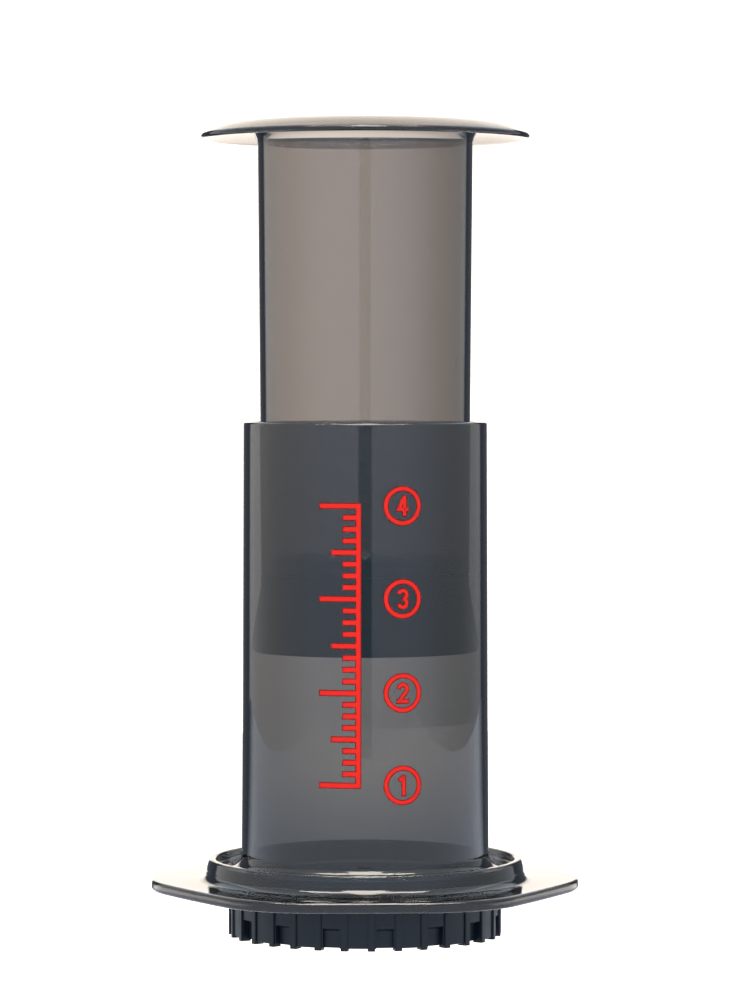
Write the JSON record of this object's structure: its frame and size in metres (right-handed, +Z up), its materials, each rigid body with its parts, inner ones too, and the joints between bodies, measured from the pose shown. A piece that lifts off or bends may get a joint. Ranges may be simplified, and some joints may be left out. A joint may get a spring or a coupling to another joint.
{
  "type": "piston coffee press",
  "caption": "Hand coffee press: clear chamber with a hexagonal seat plate, hollow plunger with rubber seal and flange, and a twist-on perforated cap holding a paper filter.",
  "frame": {"origin": "on the bore's axis, at the feet of the filter cap on which the press stands", "axes": "+Z up along the bore, +X and -X towards two corners of the hexagonal plate, -Y towards the pictured side"},
  "size_m": [0.1106, 0.1036, 0.2097],
  "materials": {
    "smoke_clear_plastic": "glossy, clear, smoke-grey tint",
    "seal_rubber": "matt moulded rubber",
    "cap_plastic": "satin moulded plastic, blue-black",
    "filter_paper": "plain unglazed filter paper"
  },
  "bodies": {
    "chamber": {"chamber": "smoke_clear_plastic"},
    "plunger": {"plunger": "smoke_clear_plastic", "plunger_seal": "seal_rubber"},
    "cap": {"filter_cap": "cap_plastic", "paper_filter": "filter_paper"}
  },
  "joints": [
    {"name": "plunger_press", "type": "slide", "parent": "chamber", "child": "plunger", "axis": [0, 0, 1], "range_m": [-0.0685, 0.062]},
    {"name": "cap_twist", "type": "hinge", "parent": "chamber", "child": "cap", "pos_m": [0, 0, 0.004], "axis": [0, 0, -1], "range_deg": [0, 26]}
  ]
}
